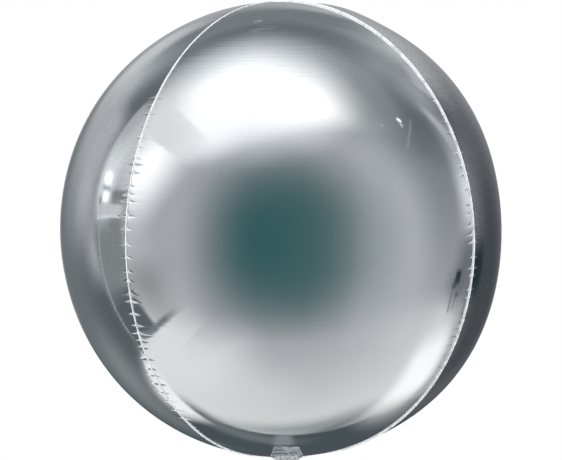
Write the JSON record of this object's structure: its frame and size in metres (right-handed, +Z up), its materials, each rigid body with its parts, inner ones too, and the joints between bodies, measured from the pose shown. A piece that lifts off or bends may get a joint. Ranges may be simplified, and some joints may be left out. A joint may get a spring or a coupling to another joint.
{
  "type": "round foil balloon",
  "caption": "Round mirror-silver foil balloon of long film panels with puckered sealed seams, a gathered neck and a flat filling tail with a film valve.",
  "frame": {"origin": "centre of the round envelope, where the gas lifts it", "axes": "+Z up, from the tail at the bottom to the crossing of the seams at the top; -Y through the middle of the front panel and the tail's front face"},
  "size_m": [0.38, 0.38, 0.4705],
  "materials": {
    "panel_film": "mirror-bright metallised film, faint fine streaks",
    "seam_film": "heat-sealed metallised film, satin, finely crinkled",
    "tail_film": "metallised film, gathered and creased",
    "valve_film": "thin milky plastic film"
  },
  "bodies": {
    "root": {"panel_front": "panel_film", "panel_right": "panel_film", "panel_back": "panel_film", "panel_left": "panel_film", "seam_front_right": "seam_film", "seam_right_back": "seam_film", "seam_back_left": "seam_film", "seam_left_front": "seam_film", "top_seal": "seam_film", "neck_gather": "tail_film", "tail_front": "tail_film", "tail_back": "tail_film", "tail_seal_left": "seam_film", "tail_seal_right": "seam_film", "valve_front": "valve_film", "valve_back": "valve_film"}
  },
  "joints": []
}
